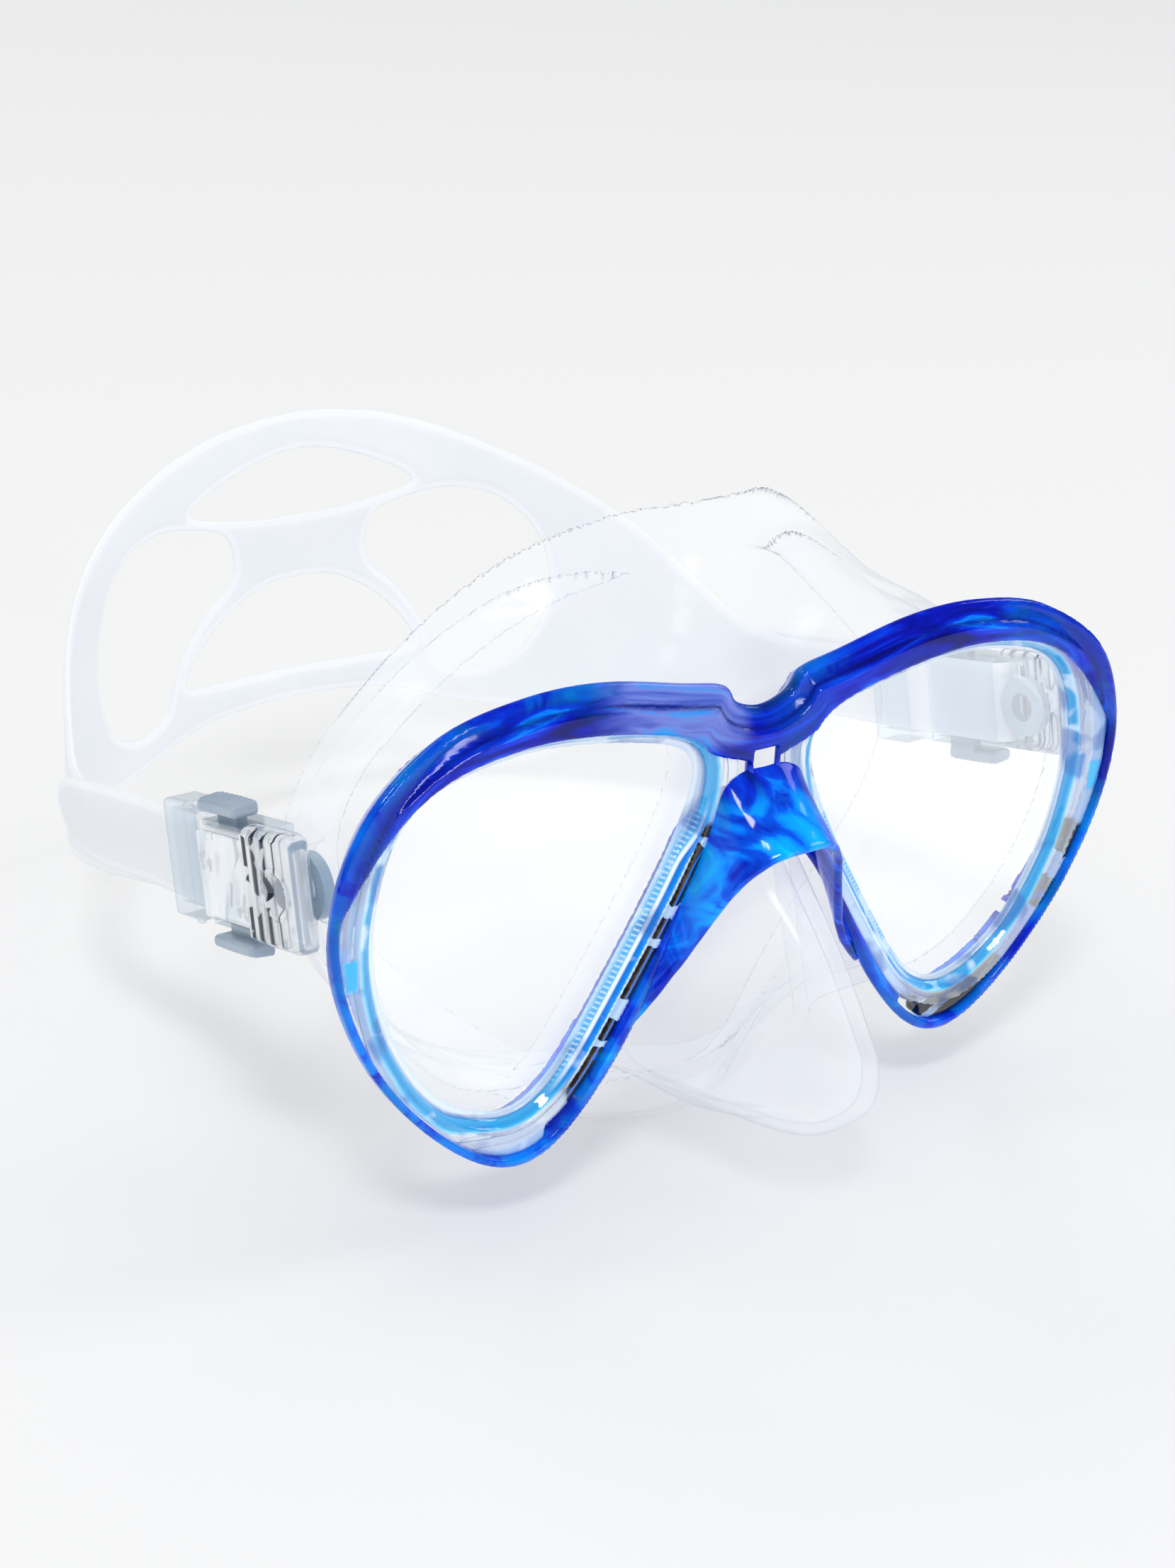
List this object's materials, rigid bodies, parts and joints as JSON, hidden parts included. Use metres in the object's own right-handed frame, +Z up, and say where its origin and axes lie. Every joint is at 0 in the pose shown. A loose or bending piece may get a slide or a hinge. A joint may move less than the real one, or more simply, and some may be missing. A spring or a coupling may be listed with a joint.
{
  "type": "diving mask",
  "caption": "Diving mask with a nose pocket, a soft clear face skirt, swivelling squeeze-release buckles and a split rear strap that holds it on the head.",
  "frame": {"origin": "midway between the two lenses, on the flat front land of the blue frame", "axes": "+Z up, -Y out of the lenses towards what the wearer looks at, +X to the right as seen from the front"},
  "size_m": [0.162, 0.173, 0.1083],
  "materials": {
    "frame": "deep translucent blue, polished",
    "ring": "clear with a light blue tint, polished",
    "lens": "clear tempered glass",
    "skirt": "clear silicone, softly glossy",
    "strap": "milky silicone, satin",
    "clear": "crystal clear, polished",
    "grey": "blue grey, satin",
    "steel": "stainless"
  },
  "bodies": {
    "mask": {"frame": "frame", "lens_ring_left": "ring", "lens_ring_right": "ring", "lens_left": "lens", "lens_right": "lens", "skirt": "skirt", "swivel_disc_left": "grey", "swivel_disc_right": "grey", "swivel_pin_left": "clear", "swivel_pin_right": "clear"},
    "buckle_left": {"buckle_base_left": "clear", "buckle_cover_left": "clear", "roller_pin_left": "steel", "pawl_pin_left": "steel", "button_spring_left": "steel", "strap": "strap"},
    "buckle_right": {"buckle_base_right": "clear", "buckle_cover_right": "clear", "roller_pin_right": "steel", "pawl_pin_right": "steel", "button_spring_right": "steel"},
    "button_top_left": {"button_top_left": "grey"},
    "button_bottom_left": {"button_bottom_left": "grey"},
    "pawl_left": {"pawl_left": "grey"},
    "strap_roller_left": {"strap_roller_left": "grey"},
    "strap_keeper_left": {"strap_keeper_left": "clear"},
    "button_top_right": {"button_top_right": "grey"},
    "button_bottom_right": {"button_bottom_right": "grey"},
    "pawl_right": {"pawl_right": "grey"},
    "strap_roller_right": {"strap_roller_right": "grey"},
    "strap_keeper_right": {"strap_keeper_right": "clear"}
  },
  "joints": [
    {"name": "strap_swing", "type": "hinge", "parent": "mask", "child": "buckle_left", "pos_m": [-0.07465, 0.01595, 0.0051], "axis": [1, 0, 0], "range_deg": [-30, 60]},
    {"name": "buckle_swing", "type": "hinge", "parent": "mask", "child": "buckle_right", "pos_m": [0.07465, 0.01595, 0.0051], "axis": [1, 0, 0], "range_deg": [-30, 60]},
    {"name": "button_squeeze_left", "type": "slide", "parent": "buckle_left", "child": "button_top_left", "axis": [0, -0.2419, -0.9703], "range_m": [0, 0.0015], "stiffness_N_per_m": 300, "deforming": ["button_spring_left"]},
    {"name": "button_lower_left", "type": "slide", "parent": "buckle_left", "child": "button_bottom_left", "axis": [0, 0.2419, 0.9703], "range_m": [0, 0.0015]},
    {"name": "pawl_lift_left", "type": "hinge", "parent": "buckle_left", "child": "pawl_left", "pos_m": [-0.07625, 0.02856, 0.00196], "axis": [0, -0.2419, -0.9703], "range_deg": [0, 9.5]},
    {"name": "roller_turn_left", "type": "hinge", "parent": "buckle_left", "child": "strap_roller_left", "pos_m": [-0.07625, 0.02371, 0.00316], "axis": [0, 0.2419, 0.9703], "continuous": true},
    {"name": "keeper_slide_left", "type": "slide", "parent": "buckle_left", "child": "strap_keeper_left", "axis": [0, 0.9703, -0.2419], "range_m": [0, 0.003]},
    {"name": "button_squeeze_right", "type": "slide", "parent": "buckle_right", "child": "button_top_right", "axis": [0, -0.2419, -0.9703], "range_m": [0, 0.0015], "stiffness_N_per_m": 300, "deforming": ["button_spring_right"]},
    {"name": "button_lower_right", "type": "slide", "parent": "buckle_right", "child": "button_bottom_right", "axis": [0, 0.2419, 0.9703], "range_m": [0, 0.0015]},
    {"name": "pawl_lift_right", "type": "hinge", "parent": "buckle_right", "child": "pawl_right", "pos_m": [0.07625, 0.02856, 0.00196], "axis": [0, 0.2419, 0.9703], "range_deg": [0, 9.5]},
    {"name": "roller_turn_right", "type": "hinge", "parent": "buckle_right", "child": "strap_roller_right", "pos_m": [0.07625, 0.02371, 0.00316], "axis": [0, 0.2419, 0.9703], "continuous": true},
    {"name": "keeper_slide_right", "type": "slide", "parent": "buckle_right", "child": "strap_keeper_right", "axis": [0, 0.9703, -0.2419], "range_m": [0, 0.003]}
  ],
  "couplings": [
    {"joint": "buckle_swing", "follows": "strap_swing", "ratio": 1},
    {"joint": "button_lower_left", "follows": "button_squeeze_left", "ratio": 1},
    {"joint": "pawl_lift_left", "follows": "button_squeeze_left", "rad_per_m": 110},
    {"joint": "button_lower_right", "follows": "button_squeeze_right", "ratio": 1},
    {"joint": "pawl_lift_right", "follows": "button_squeeze_right", "rad_per_m": 110}
  ]
}
